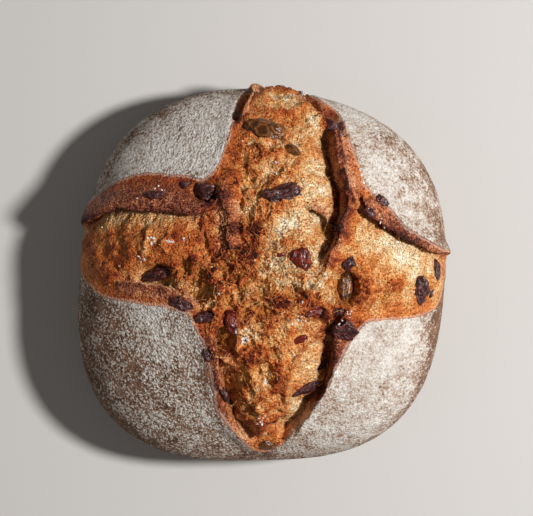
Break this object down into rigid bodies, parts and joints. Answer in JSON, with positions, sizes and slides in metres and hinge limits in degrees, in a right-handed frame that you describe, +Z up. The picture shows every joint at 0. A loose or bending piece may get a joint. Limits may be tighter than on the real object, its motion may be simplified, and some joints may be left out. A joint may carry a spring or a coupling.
{
  "type": "sourdough loaf with dried fruit",
  "caption": "Round sourdough boule lying on its flat base, scored face up: a cross-shaped burst with raised ears and dried fruit set in the crumb.",
  "frame": {"origin": "middle of the loaf's box, on the plane of its flat base", "axes": "+Z up out of the scored face; +Y towards the arm of the cross that holds the largest sultana; +X towards the arm with the short right-hand ear"},
  "size_m": [0.2228, 0.226, 0.1033],
  "materials": {
    "crust": "matte, browned, partly dusted with flour",
    "sultana": "glossy, wrinkled skin",
    "raisin": "satin, wrinkled skin",
    "cranberry": "glossy, wrinkled skin"
  },
  "bodies": {
    "root": {"loaf": "crust", "sultana_1": "sultana", "sultana_2": "sultana", "sultana_3": "sultana", "sultana_4": "sultana", "raisin_1": "raisin", "raisin_2": "raisin", "raisin_3": "raisin", "raisin_4": "raisin", "raisin_5": "raisin", "raisin_6": "raisin", "raisin_7": "raisin", "raisin_8": "raisin", "raisin_9": "raisin", "raisin_10": "raisin", "raisin_11": "raisin", "raisin_12": "raisin", "raisin_13": "raisin", "raisin_14": "raisin", "raisin_15": "raisin", "raisin_16": "raisin", "raisin_17": "raisin", "raisin_18": "raisin", "raisin_19": "raisin", "cranberry_1": "cranberry", "cranberry_2": "cranberry", "cranberry_3": "cranberry", "cranberry_4": "cranberry", "cranberry_5": "cranberry"}
  },
  "joints": []
}
